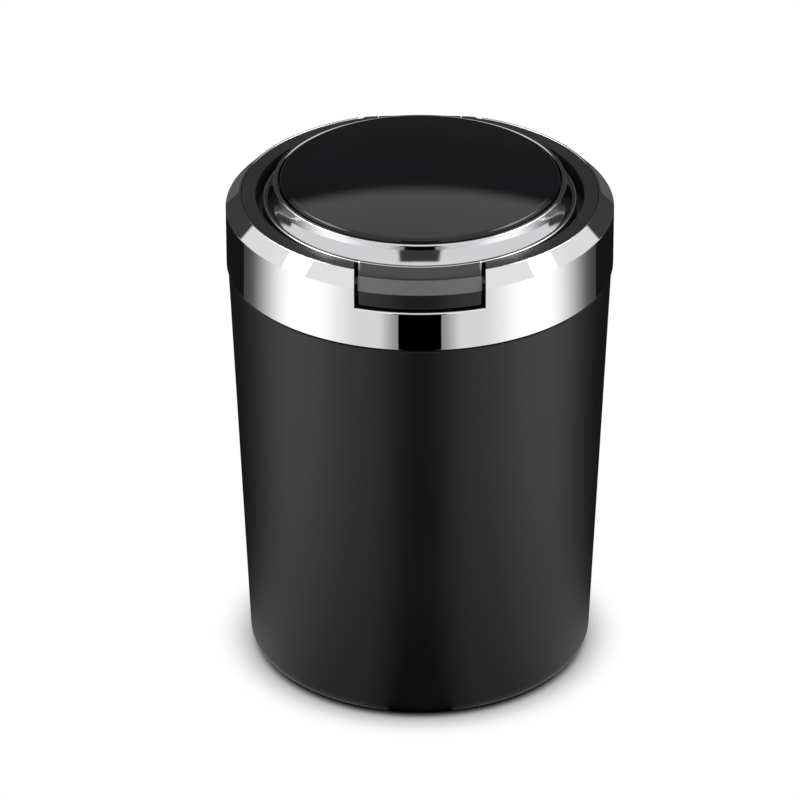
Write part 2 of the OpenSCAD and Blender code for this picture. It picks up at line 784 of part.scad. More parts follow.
module battery_cover() {
    color([0.14, 0.14, 0.15]) difference() {
        union() {
            hatch(0, cover_z, cover_z + hatch_t);
            translate([0, cell_y, cover_z + hatch_t - eps])
                cylinder(r = cell_r - fit_gap, h = cover_t - hatch_t - fit_gap - touch_gap);
        }
        translate([hatch_ear_x, cell_y, 0]) {
            cylinder(r = screw_r + fit_gap, h = far);
            cylinder(r = head_d / 2 + fit_gap, h = cover_z + hatch_t - 0.35);
        }
    }
}

module battery_screw() {
    seat = hatch_t - 0.35;
    color([0.7, 0.7, 0.72]) translate([hatch_ear_x, cell_y, cover_z + seat]) {
        translate([0, 0, -seat]) cylinder(r = head_d / 2, h = seat);
        cylinder(r = screw_r, h = screw_l - 1);
    }
}

outer_shell();
base_pad();
ash_liner();
head_seal();
trim_ring();
collar();
hinge_pin();
rest_insert();
insert_screws();
lid_frame();
lid_bezel();
lid_disc();
lid_gasket();
lid_inner();
lid_screws();
light_lens();
led_board();
leds();
tilt_switch();
coin_cell();
cell_clip();
cell_leaf();
battery_cover();
battery_screw();
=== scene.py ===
"""Looks of a car ashtray: a tapered cup, a chrome ringed twist-off head and a lid with a small lamp.

Sizes in the classes are millimetres, heights are above the surface that the cup stands on, and -Y is the
front. Meshes are written in metres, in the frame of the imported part.
"""

import logging
import math
from collections.abc import Iterable, Sequence
from dataclasses import dataclass, field
from enum import Enum
from typing import Any

import bmesh
import bpy
from mathutils import Matrix, Vector

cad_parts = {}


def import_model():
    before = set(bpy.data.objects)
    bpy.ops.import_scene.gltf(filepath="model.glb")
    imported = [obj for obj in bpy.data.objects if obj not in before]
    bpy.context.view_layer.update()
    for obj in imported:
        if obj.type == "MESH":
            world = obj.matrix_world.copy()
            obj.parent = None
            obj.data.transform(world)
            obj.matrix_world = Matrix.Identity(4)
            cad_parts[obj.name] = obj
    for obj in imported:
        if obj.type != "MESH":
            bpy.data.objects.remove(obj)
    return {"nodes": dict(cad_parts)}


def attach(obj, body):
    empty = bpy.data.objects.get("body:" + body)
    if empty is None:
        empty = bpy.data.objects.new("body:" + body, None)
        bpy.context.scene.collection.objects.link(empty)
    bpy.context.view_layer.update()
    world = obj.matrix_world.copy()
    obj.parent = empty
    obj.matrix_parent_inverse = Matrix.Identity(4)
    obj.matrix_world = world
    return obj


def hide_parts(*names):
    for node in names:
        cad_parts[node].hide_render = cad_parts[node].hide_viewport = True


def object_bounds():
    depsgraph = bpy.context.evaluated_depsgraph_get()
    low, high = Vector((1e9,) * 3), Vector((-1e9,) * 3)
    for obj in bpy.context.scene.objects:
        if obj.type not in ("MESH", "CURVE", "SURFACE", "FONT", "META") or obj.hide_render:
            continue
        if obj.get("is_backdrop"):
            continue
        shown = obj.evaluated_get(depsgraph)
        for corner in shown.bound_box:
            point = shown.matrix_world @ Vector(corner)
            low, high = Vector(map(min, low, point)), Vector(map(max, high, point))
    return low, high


LOG = logging.getLogger("ashtray")
MM = 0.001
ROUND = 288
SMOOTH = math.radians(38)

Section = list[tuple[float, float]]


class Body(str, Enum):
    """The moving bodies of the part."""

    CUP = "cup"
    SEAL = "seal_ring"
    HEAD = "head"
    LID = "lid"


# --- Shader trees ---------------------------------------------------------------------------------


class Sock:
    """An output of a shader node, with the arithmetic that the finishes use."""

    def __init__(self, tree: "Tree", out: bpy.types.NodeSocket) -> None:
        """Keeps the tree and the output."""
        self.tree = tree
        self.out = out

    def _op(self, operation: str, *values: Any) -> "Sock":
        """Adds a Math node and returns its output."""
        return self.tree.node("ShaderNodeMath", {"operation": operation}, dict(enumerate(values)))

    def __add__(self, other: Any) -> "Sock":
        """self + other."""
        return self._op("ADD", self, other)

    def __radd__(self, other: Any) -> "Sock":
        """other + self."""
        return self._op("ADD", other, self)

    def __sub__(self, other: Any) -> "Sock":
        """self - other."""
        return self._op("SUBTRACT", self, other)

    def __rsub__(self, other: Any) -> "Sock":
        """other - self."""
        return self._op("SUBTRACT", other, self)

    def __mul__(self, other: Any) -> "Sock":
        """self * other."""
        return self._op("MULTIPLY", self, other)

    def __rmul__(self, other: Any) -> "Sock":
        """other * self."""
        return self._op("MULTIPLY", other, self)

    def __truediv__(self, other: Any) -> "Sock":
        """self / other."""
        return self._op("DIVIDE", self, other)

    def __pow__(self, other: Any) -> "Sock":
        """self to the power other."""
        return self._op("POWER", self, other)

    def __abs__(self) -> "Sock":
        """The absolute value."""
        return self._op("ABSOLUTE", self)

    def at_least(self, other: Any) -> "Sock":
        """The larger of the two."""
        return self._op("MAXIMUM", self, other)

    def atan2(self, other: Any) -> "Sock":
        """The angle of the point (other, self)."""
        return self._op("ARCTAN2", self, other)

    def sine(self) -> "Sock":
        """The sine."""
        return self._op("SINE", self)

    def step(self, low: float, high: float) -> "Sock":
        """A smooth step from 0 at low to 1 at high.

        Args:
            low: the value at which the step starts.
            high: the value at which it ends; it may be below low.

        Returns:
            The step, from 0 to 1.
        """
        down = high < low
        ends = (high, low) if down else (low, high)
        settings = {"interpolation_type": "SMOOTHSTEP"}
        out = self.tree.node("ShaderNodeMapRange", settings, {0: self, 1: ends[0], 2: ends[1]})
        return 1 - out if down else out


class Tree:
    """The nodes of one material or world."""

    def __init__(self, nodes: bpy.types.NodeTree) -> None:
        """Takes an empty node tree."""
        self.nodes = nodes
        self.nodes.nodes.clear()

    def raw(self, kind: str, settings: dict[str, Any], inputs: dict[Any, Any]) -> bpy.types.Node:
        """Adds a node.

        Args:
            kind: the node's type.
            settings: its properties, set first.
            inputs: values or links of its sockets, by name or number.

        Returns:
            The node.
        """
        made = self.nodes.nodes.new(kind)
        for name, value in settings.items():
            setattr(made, name, value)
        for name, value in inputs.items():
            socket = made.inputs[name]
            if isinstance(value, Sock):
                self.nodes.links.new(value.out, socket)
            elif value is not None:
                socket.default_value = value
        return made

    def node(self, kind: str, settings: dict[str, Any], inputs: dict[Any, Any], out: Any = 0) -> Sock:
        """Adds a node and returns one of its outputs."""
        return Sock(self, self.raw(kind, settings, inputs).outputs[out])

    def vector(self, operation: str, *values: Any) -> Sock:
        """Adds a Vector Math node."""
        return self.node("ShaderNodeVectorMath", {"operation": operation}, dict(enumerate(values)))

    def mix(self, factor: Any, one: Any, other: Any) -> Sock:
        """Mixes two colours."""
        settings = {"data_type": "RGBA"}
        return self.node("ShaderNodeMix", settings, {0: factor, 6: one, 7: other}, out=2)

    def millimetres(self) -> Sock:
        """The place on the object in millimetres."""
        place = self.node("ShaderNodeTexCoord", {}, {}, out="Object")
        return self.node(
            "ShaderNodeVectorMath", {"operation": "SCALE"}, {0: place, "Scale": 1 / MM})

    def axes(self, place: Sock) -> tuple[Sock, Sock, Sock]:
        """The three numbers of a place."""
        split = self.raw("ShaderNodeSeparateXYZ", {}, {0: place})
        x, y, z = (Sock(self, out) for out in split.outputs)
        return x, y, z

    def radius(self, x: Sock, y: Sock) -> Sock:
        """The distance from the upright axis."""
        return (x * x + y * y) ** 0.5

    def noise(self, place: Any, scale: float, detail: float = 2, rough: float = 0.5) -> Sock:
        """Noise from 0 to 1, with its scale in cells per millimetre."""
        inputs = {"Vector": place, "Scale": scale, "Detail": detail, "Roughness": rough}
        return self.node("ShaderNodeTexNoise", {}, inputs)

    def bump(self, height: Sock, depth_mm: float, under: Sock | None = None) -> Sock:
        """A bump of a depth in millimetres for a height from 0 to 1."""
        inputs = {"Height": height, "Strength": 1.0, "Distance": depth_mm * MM, "Normal": under}
        return self.node("ShaderNodeBump", {}, inputs)


def rgb(red: float, green: float | None = None, blue: float | None = None) -> tuple[float, ...]:
    """A colour with full alpha, grey where only one number is given."""
    return (red, red if green is None else green, red if blue is None else blue, 1.0)


@dataclass(frozen=True)
class Finish:
    """A finish: what is the same all over, and a method that adds what changes over the surface."""

    name: str
    colour: tuple[float, ...] = rgb(0.5)
    rough: float = 0.4
    metal: float = 0.0
    ior: float = 1.5
    clear: float = 0.0

    def surface(self, tree: Tree) -> dict[str, Any]:
        """The sockets that change over the surface."""
        return {}

    def make(self) -> bpy.types.Material:
        """Builds the material.

        Returns:
            The new material, with a principled surface.
        """
        material = bpy.data.materials.new(self.name)
        material.use_nodes = True
        tree = Tree(material.node_tree)
        inputs: dict[str, Any] = {
            "Base Color": self.colour, "Roughness": self.rough, "Metallic": self.metal,
            "IOR": self.ior, "Transmission Weight": self.clear,
        }
        inputs.update(self.surface(tree))
        shader = tree.raw("ShaderNodeBsdfPrincipled", {}, inputs)
        out = tree.raw("ShaderNodeOutputMaterial", {}, {})
        tree.nodes.links.new(shader.outputs[0], out.inputs[0])
        return material


@dataclass(frozen=True)
class Moulded(Finish):
    """Moulded plastic or rubber with a fine spark-eroded grain."""

    grain: float = 3.0
    depth: float = 0.01
    mottle: float = 0.06

    def surface(self, tree: Tree) -> dict[str, Any]:
        """Grain in the normal, and slow patches in the roughness and the colour."""
        place = tree.millimetres()
        fine = tree.noise(place, self.grain, 3, 0.6)
        slow = tree.noise(place, 0.05, 2)
        lighter = tuple(min(1.0, 1.35 * c) for c in self.colour[:3]) + (1.0,)
        return {
            "Base Color": tree.mix(slow.step(0.35, 0.7), self.colour, lighter),
            "Roughness": self.rough + (slow - 0.5) * self.mottle + (fine - 0.5) * self.mottle,
            "Normal": tree.bump(fine, self.depth),
        }


@dataclass(frozen=True)
class Chrome(Finish):
    """Bright plating over plastic, with the slow waviness of such plating and a few fine scratches."""

    metal: float = 1.0
    wave: float = 0.0
    wave_scale: float = 0.1

    def surface(self, tree: Tree) -> dict[str, Any]:
        """Waviness and hairline scratches."""
        place = tree.millimetres()
        slow = tree.noise(place, self.wave_scale, 2)
        stretched = tree.vector("MULTIPLY", place, (1.5, 1.5, 14.0))
        scratch = tree.noise(stretched, 0.8, 4, 0.7).step(0.62, 0.75)
        found: dict[str, Any] = {"Roughness": self.rough + scratch * 0.02 + slow * 0.01}
        if self.wave:
            found["Normal"] = tree.bump(slow, self.wave)
        return found


@dataclass(frozen=True)
class Brushed(Finish):
    """Metal brushed round its axis, or tumbled where the lines are short."""

    metal: float = 1.0
    lines: float = 7.0
    depth: float = 0.004

    def surface(self, tree: Tree) -> dict[str, Any]:
        """Fine lines round the axis, with a little colour in them."""
        place = tree.millimetres()
        x, y, z = tree.axes(place)
        along = {0: tree.radius(x, y) * self.lines, 1: z * self.lines, 2: y.atan2(x) * 2}
        ring = tree.node("ShaderNodeCombineXYZ", {}, along)
        fine = tree.noise(ring, 1.0, 4, 0.65)
        slow = tree.noise(place, 0.12, 2)
        darker = tuple(0.72 * c for c in self.colour[:3]) + (1.0,)
        return {
            "Base Color": tree.mix(fine.step(0.25, 0.75), darker, self.colour),
            "Roughness": self.rough + (slow - 0.5) * 0.1 + (fine - 0.5) * 0.1,
            "Normal": tree.bump(fine, self.depth),
        }


@dataclass(frozen=True)
class LidSkin(Finish):
    """Black satin lid with a painted highlight round its rim's edge, made as a thin bright metal band, and a
    painted highlight on the tab's chamfer in grey.
    """

    edge_r: float = 29.1
    edge_z: float = 93.85
    # Heights of the painted highlight on the tab's chamfer.
    highlight_low: float = 91.25
    highlight_high: float = 93.6

    def surface(self, tree: Tree) -> dict[str, Any]:
        """Masks of the painted highlights on the rim's edge and the tab's chamfer, and a fine grain."""
        place = tree.millimetres()
        x, y, z = tree.axes(place)
        r = tree.radius(x, y)
        fine = tree.noise(place, 3.0, 3, 0.6)
        # Painted highlight: a thin band on the rim's rounded outer edge is made bright metal so that it shows as
        # a highlight line.
        rim = r.step(self.edge_r - 0.27, self.edge_r - 0.2) * z.step(self.edge_z - 0.3, self.edge_z - 0.22)
        rim = rim * r.step(self.edge_r + 0.1, self.edge_r + 0.05)
        # Painted highlight: the front face of the tab's chamfer gets a lighter grey colour in place of the sheen
        # that light puts on it.
        front = r.step(33.8, 33.9) * y.step(0.0, -1.0)
        chamfer_highlight = front * z.step(self.highlight_low - 0.05, self.highlight_low) \
            * z.step(self.highlight_high + 0.05, self.highlight_high)
        colour = tree.mix(chamfer_highlight, self.colour, rgb(0.16, 0.16, 0.17))
        return {
            "Base Color": tree.mix(rim, colour, rgb(0.8)),
            "Metallic": rim,
            "Roughness": self.rough + (fine - 0.5) * 0.06 - rim * (self.rough - 0.15),
            "Normal": tree.bump(fine, 0.006),
        }


@dataclass(frozen=True)
class Board(Finish):
    """Green circuit board with copper traces under the lacquer."""

    def surface(self, tree: Tree) -> dict[str, Any]:
        """A pattern of traces as lighter lines, and pads."""
        place = tree.millimetres()
        settings = {"distance": "MANHATTAN", "feature": "F1"}
        cells = tree.node(
            "ShaderNodeTexVoronoi", settings, {"Vector": place, "Scale": 0.3}, out="Distance")
        trace = abs((cells * 4.0).sine()).step(0.25, 0.1)
        return {
            "Base Color": tree.mix(trace, self.colour, rgb(0.03, 0.17, 0.06)),
            "Roughness": 0.3 + trace * 0.1,
            "Normal": tree.bump(trace, 0.03),
        }


@dataclass(frozen=True)
class Lens(Finish):
    """Clear window with fine prisms across it that spread the lamp's light."""

    clear: float = 0.9
    pitch: float = 0.8
    mean_r: float = 14.7

    def surface(self, tree: Tree) -> dict[str, Any]:
        """Ridges at an even pitch along the window."""
        place = tree.millimetres()
        x, y, _ = tree.axes(place)
        wave = (x.atan2(y * -1.0) * (self.mean_r * 2 * math.pi / self.pitch)).sine() * 0.5 + 0.5
        return {"Normal": tree.bump(wave, 0.12), "Roughness": self.rough + wave * 0.05}


@dataclass(frozen=True)
class LightChip(Finish):
    """White ceramic chip with a yellow phosphor window in its middle."""

    def surface(self, tree: Tree) -> dict[str, Any]:
        """Phosphor where the chip's lower face is away from its edge."""
        place = tree.millimetres()
        spots = tree.noise(place, 2.0, 2)
        _, _, z = tree.axes(place)
        window = z.step(93.9, 93.82)
        return {
            "Base Color": tree.mix(window, self.colour, rgb(0.9, 0.68, 0.12)),
            "Roughness": self.rough + spots * 0.15,
        }


@dataclass(frozen=True)
class Paint:
    """All finishes of the part by the record's slot, each with the nodes' own small variations."""

    finishes: dict[str, Finish] = field(default_factory=lambda: {
        "cup_plastic": Moulded("cup_plastic", rgb(0.0052, 0.0052, 0.006), 0.36, grain=2.4, depth=0.005),
        "pad_rubber": Moulded("pad_rubber", rgb(0.012), 0.75, grain=1.6, depth=0.02),
        "liner_steel": Brushed("liner_steel", rgb(0.62, 0.61, 0.6), 0.28),
        "silicone": Moulded("silicone", rgb(0.03), 0.55, grain=1.2, depth=0.004),
        "ring_chrome": Chrome("ring_chrome", rgb(0.93, 0.93, 0.94), 0.02, wave=0.004, wave_scale=0.05),
        "collar_plastic": Moulded("collar_plastic", rgb(0.009, 0.009, 0.0095), 0.33, grain=2.6, depth=0.006),
        "bright_steel": Brushed("bright_steel", rgb(0.7), 0.2, lines=3.0),
        "dish_metal": Brushed("dish_metal", rgb(0.5, 0.49, 0.48), 0.3, lines=4.0),
        "screw_steel": Brushed("screw_steel", rgb(0.55), 0.3, lines=9.0),
        "lid_plastic": LidSkin("lid_plastic", rgb(0.011, 0.011, 0.012), 0.34),
        "bevel_chrome": Chrome("bevel_chrome", rgb(0.82, 0.82, 0.84), 0.07, wave=0.05, wave_scale=0.16),
        "disc_gloss": Moulded(
            "disc_gloss", rgb(0.0045, 0.0045, 0.0055), 0.05, grain=0.25, depth=0.0015, mottle=0.01),
        "inner_plastic": Moulded("inner_plastic", rgb(0.014), 0.42, grain=2.2, depth=0.012),
        "lens_clear": Lens("lens_clear", rgb(0.95), 0.12, ior=1.49),
        "board_green": Board("board_green", rgb(0.012, 0.1, 0.035), 0.3),
        "led_white": LightChip("led_white", rgb(0.85), 0.35),
        "switch_metal": Brushed("switch_metal", rgb(0.6, 0.55, 0.4), 0.25),
        "cell_steel": Brushed("cell_steel", rgb(0.66), 0.22, lines=5.0),
        "contact_brass": Brushed("contact_brass", rgb(0.72, 0.52, 0.22), 0.25),
    })

    def make(self) -> dict[str, bpy.types.Material]:
        """Builds every material.

        Returns:
            The materials by the record's slot.
        """
        return {slot: finish.make() for slot, finish in self.finishes.items()}


# --- Mesh helpers ---------------------------------------------------------------------------------


@dataclass(frozen=True)
class Corner:
    """One corner of a section: radius from the axis, height and rounding."""

    r: float
    z: float
    rounding: float = 0.0


def rounded(corners: Sequence[Corner], steps: int = 5) -> Section:
    """Rounds the corners of a closed section.

    Args:
        corners: the section's corners in order.
        steps: how many stretches each rounding has.

    Returns:
        The section's points, with one more point beside each rounding that keeps the shading flat.
    """
    points: Section = []
    for i, corner in enumerate(corners):
        p = Vector((corner.r, corner.z))
        before, after = corners[i - 1], corners[(i + 1) % len(corners)]
        a, b = Vector((before.r, before.z)) - p, Vector((after.r, after.z)) - p
        long_a, long_b = a.length, b.length
        if corner.rounding <= 0:
            points.append((p.x, p.y))
            continue
        a.normalize()
        b.normalize()
        half = a.angle(b) / 2
        reach = min(corner.rounding / math.tan(half), 0.47 * long_a, 0.47 * long_b)
        radius = reach * math.tan(half)
        centre = p + (a + b).normalized() * (radius / math.sin(half))
        start, end = p + a * reach, p + b * reach
        turn = (start - centre).angle_signed(end - centre)
        beside = min(0.06, 0.02 * min(long_a, long_b))
        points.append(tuple(start + a * beside))
        for k in range(steps + 1):
            arm = (start - centre).copy()
            arm.rotate(Matrix.Rotation(-turn * k / steps, 2))
            points.append(tuple(centre + arm))
        points.append(tuple(end + b * beside))
    return points


def finished(name: str, bm: bmesh.types.BMesh, recalc: bool = True) -> bpy.types.Object:
    """Turns a bmesh in millimetres into an object in metres, smooth except at sharp edges.

    Args:
        name: the piece's name.
        bm: its mesh, which is freed.
        recalc: whether its normals are recalculated.

    Returns:
        The new object, at the origin.
    """
    bmesh.ops.remove_doubles(bm, verts=bm.verts, dist=1e-5)
    bmesh.ops.triangulate(bm, faces=[f for f in bm.faces if len(f.verts) > 4])
    if recalc:
        bmesh.ops.recalc_face_normals(bm, faces=bm.faces)
    bmesh.ops.scale(bm, vec=(MM, MM, MM), verts=bm.verts)
    mesh = bpy.data.meshes.new(name)
    bm.to_mesh(mesh)
    bm.free()
    mesh.shade_smooth()
    mesh.set_sharp_from_angle(angle=SMOOTH)
    thing = bpy.data.objects.new(name, mesh)
    bpy.context.scene.collection.objects.link(thing)
    return thing


def skin(bm: bmesh.types.BMesh, rows: list[list[bmesh.types.BMVert]], closed: bool) -> None:
    """Joins rows of vertices into faces.

    Args:
        bm: the mesh that the vertices are in.
        rows: rows of the same length; each row is a closed loop.
        closed: whether the last row joins the first.
    """
    pairs = list(zip(rows, rows[1:] + rows[:1])) if closed else list(zip(rows, rows[1:]))
    for one, other in pairs:
        for i, vert in enumerate(one):
            j = (i + 1) % len(one)
            corners = [vert, one[j], other[j], other[i]]
            unique = list(dict.fromkeys(corners))
            if len(unique) > 2:
                bm.faces.new(unique)


def lathe(name: str, section: Section, segments: int = ROUND) -> bpy.types.Object:
    """Turns a closed section round the upright axis.

    Args:
        name: the piece's name.
        section: points (radius, height); those on the axis become poles.
        segments: how many stretches the round has.

    Returns:
        The new object.
    """
    bm = bmesh.new()
    poles = {i: bm.verts.new((0, 0, z)) for i, (r, z) in enumerate(section) if r < 1e-6}
    rows = []
    for k in range(segments):
        a = 2 * math.pi * k / segments
        rows.append([
            poles[i] if i in poles else bm.verts.new((r * math.cos(a), r * math.sin(a), z))
            for i, (r, z) in enumerate(section)])
    skin(bm, rows, True)
    return finished(name, bm)


def inset(section: Section, depth: float) -> Section:
    """Moves a closed section's points inwards by a depth."""
    area = sum(a[0] * b[1] - b[0] * a[1] for a, b in zip(section, section[1:] + section[:1]))
    side = 1 if area > 0 else -1
    out = []
    for i, p in enumerate(section):
        a, b = section[i - 1], section[(i + 1) % len(section)]
        d = Vector((b[0] - a[0], b[1] - a[1]))
        if d.length < 1e-9:
            out.append(p)
            continue
        d.normalize()
        out.append((p[0] - side * d.y * depth, p[1] + side * d.x * depth))
    return out


def sweep(
    name: str, section: Section, half: float, ends: float = 0.0, columns: int = 48, steps: int = 5,
    rear: bool = False
) -> bpy.types.Object:
    """Sweeps a section round the axis between two planes across X.

    Args:
        name: the piece's name.
        section: points (radius, height), all with a radius above half.
        half: half the width between the planes.
        ends: rounding of the ends.
        columns: how many stretches lie between the ends.
        steps: how many stretches each end's rounding has.
        rear: whether the piece is at the back.

    Returns:
        The new object.
    """
    side = []
    for j in range(steps + 1 if ends else 1):
        a = math.pi / 2 * (1 - j / steps) if ends else 0.0
        side.append((half - ends * (1 - math.sin(a)) if ends else half, ends * (1 - math.cos(a))))
    inner = side[-1][0]
    middle = [(inner * (1 - 2 * k / columns), 0.0) for k in range(1, columns)]
    places = side + middle + [(-x, d) for x, d in reversed(side)]
    sign = 1 if rear else -1
    bm = bmesh.new()
    rows = []
    for x, depth in places:
        loop = inset(section, depth) if depth else section
        rows.append([bm.verts.new((x, sign * math.sqrt(max(r * r - x * x, 0.0)), z)) for r, z in loop])
    skin(bm, rows, False)
    bm.faces.new(rows[0])
    bm.faces.new(rows[-1])
    return finished(name, bm)


def carve(
    piece: bpy.types.Object, tools: Iterable[bpy.types.Object], how: str = "DIFFERENCE"
) -> bpy.types.Object:
    """Cuts tools out of a piece, or joins them to it, and removes them.

    Args:
        piece: the object that is changed.
        tools: closed objects.
        how: the boolean's operation.

    Returns:
        The piece.
    """
    tools = list(tools)
    for tool in tools:
        cut = piece.modifiers.new(tool.name, "BOOLEAN")
        cut.operation = how
        cut.solver = "EXACT"
        cut.object = tool
    mesh = bpy.data.meshes.new_from_object(piece.evaluated_get(bpy.context.evaluated_depsgraph_get()))
    piece.modifiers.clear()
    old = piece.data
    piece.data = mesh
    bpy.data.meshes.remove(old)
    mesh.shade_smooth()
    mesh.set_sharp_from_angle(angle=SMOOTH)
    for tool in tools:
        data = tool.data
        bpy.data.objects.remove(tool)
        bpy.data.meshes.remove(data)
    return piece


def dress(piece: bpy.types.Object, material: bpy.types.Material) -> None:
    """Gives a piece one material."""
    piece.data.materials.clear()
    piece.data.materials.append(material)


@dataclass
class Workshop:
    """What every sub-assembly needs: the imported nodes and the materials."""

    nodes: dict[str, bpy.types.Object]
    paint: dict[str, bpy.types.Material]

    def place(self, piece: bpy.types.Object, body: Body, slot: str, *stands_for: str) -> bpy.types.Object:
        """Dresses a new piece and puts it on its body.

        Args:
            piece: the piece.
            body: the body that it rides on.
            slot: the record's slot of its finish.
            stands_for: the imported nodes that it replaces.

        Returns:
            The piece.
        """
        dress(piece, self.paint[slot])
        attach(piece, body.value)
        if stands_for:
            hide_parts(*stands_for)
        LOG.info("%s on %s, %d faces", piece.name, body.value, len(piece.data.polygons))
        return piece

    def keep(self, slot: str, *names: str) -> None:
        """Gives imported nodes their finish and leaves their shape."""
        for name in names:
            dress(self.nodes[name], self.paint[slot])
            LOG.info("%s kept from the packed part", name)


# --- Sub-assemblies -------------------------------------------------------------------------------


@dataclass
class Cup:
    """The tapered cup with its stepped neck, pad and liner."""

    base_r: float = 32.5
    shoulder_r: float = 35.7
    shoulder_z: float = 80.0
    foot_z: float = 0.3
    foot_round: float = 3.5
    neck_r: float = 33.9
    neck_in_r: float = 32.2
    neck_z: float = 86.4
    floor_z: float = 3.1
    pad_r: float = 26.1
    pad_z: float = 1.5
    bore_r: float = 30.0
    bore_round: float = 4.25
    lugs: int = 3
    lug_z: float = 82.4
    lift: float = 5.2
    turn: float = 50.0
    groove_r: float = 33.05
    groove_h: float = 2.3

    def shell(self) -> bpy.types.Object:
        """The cup's wall as one closed shell with its three grooves."""
        lean = (self.shoulder_r - self.base_r) / (self.shoulder_z - self.foot_z - self.foot_round)
        section = rounded([
            Corner(0, self.pad_z), Corner(self.pad_r, self.pad_z, 0.1), Corner(self.pad_r, self.foot_z, 0.2),
            Corner(self.base_r - lean * self.foot_round, self.foot_z, self.foot_round * 1.04),
            Corner(self.shoulder_r, self.shoulder_z, 0.3), Corner(self.neck_r, self.shoulder_z, 0.12),
            Corner(self.neck_r, self.neck_z, 0.3), Corner(self.neck_in_r, self.neck_z, 0.2),
            Corner(self.neck_in_r, self.shoulder_z), Corner(self.bore_r, self.floor_z, self.bore_round),
            Corner(0, self.floor_z),
        ], 9)
        return carve(lathe("cup_wall", section), [self.groove(k) for k in range(self.lugs)])

    def groove(self, k: int) -> bpy.types.Object:
        """A rising groove as a closed ribbon that is cut out of the neck.

        Args:
            k: the groove's number.

        Returns:
            The cutter.
        """
        steps = 40
        over = math.degrees(self.groove_h / 2 / self.neck_r)
        bm = bmesh.new()
        rows = []
        for i in range(steps + 1):
            a = -over + (self.turn + 2 * over) * i / steps
            z = self.lug_z + self.lift * a / self.turn
            b = math.radians(a + 360 * k / self.lugs)
            rows.append([
                bm.verts.new((r * math.cos(b), r * math.sin(b), z + h))
                for r, h in ((self.groove_r, -self.groove_h / 2), (self.neck_r + 1, -self.groove_h / 2),
                             (self.neck_r + 1, self.groove_h / 2), (self.groove_r, self.groove_h / 2))])
        skin(bm, rows, False)
        bm.faces.new(rows[0])
        bm.faces.new(rows[-1])
        return finished(f"groove_{k}", bm)

    def build(self, shop: Workshop) -> None:
        """Builds and dresses the cup's pieces."""
        shop.place(self.shell(), Body.CUP, "cup_plastic", "outer_shell")
        shop.keep("pad_rubber", "base_pad")
        shop.keep("liner_steel", "ash_liner")
        shop.keep("silicone", "head_seal")


@dataclass
class Head:
    """The chrome ring, the collar and the dish inside it."""

    ring_r: float = 36.0
    ring_low: float = 80.4
    edge_z: float = 92.05
    top_z: float = 94.55
    chamfer_r: float = 33.5
    lip_r: float = 33.15
    wall: float = 0.9
    notch_half: float = 11.9
    sill_z: float = 88.0
    sill_round: float = 0.4
    rear_half: float = 11.75
    rear_z: float = 88.95

    def ring(self) -> bpy.types.Object:
        """The chromed ring with its chamfer, the front notch with a rounded sill and the rear notch."""
        inner = self.ring_r - self.wall
        inner_edge = self.edge_z - self.wall * math.tan(math.radians(22.5))
        section = rounded([
            Corner(self.ring_r, self.ring_low, 0.15), Corner(self.ring_r, self.edge_z, 0.16),
            Corner(self.chamfer_r, self.top_z, 0.14), Corner(self.lip_r, self.top_z, 0.12),
            Corner(self.lip_r, inner_edge + inner - self.lip_r, 0), Corner(inner, inner_edge, 0),
            Corner(inner, self.ring_low, 0.15),
        ], 4)
        out, top = self.ring_r + 2, self.top_z + 2
        arc = [
            (self.ring_r - self.sill_round * (1 - math.sin(a)), self.sill_z - self.sill_round * (1 - math.cos(a)))
            for a in (math.pi / 2 * k / 6 for k in range(7))]
        front = [(30.0, self.sill_z)] + arc + [(out, self.sill_z - self.sill_round), (out, top), (30.0, top)]
        back = [(30.0, self.rear_z), (out, self.rear_z), (out, top), (30.0, top)]
        return carve(lathe("chrome_ring", section), [
            sweep("front_notch", front, self.notch_half),
            sweep("rear_notch", back, self.rear_half, rear=True)])

    def build(self, shop: Workshop) -> None:
        """Builds and dresses the head's pieces."""
        shop.place(self.ring(), Body.HEAD, "ring_chrome", "trim_ring")
        shop.keep("collar_plastic", "collar")
        shop.keep("bright_steel", "hinge_pin")
        shop.keep("dish_metal", "rest_insert")
        shop.keep("screw_steel", "insert_screws")


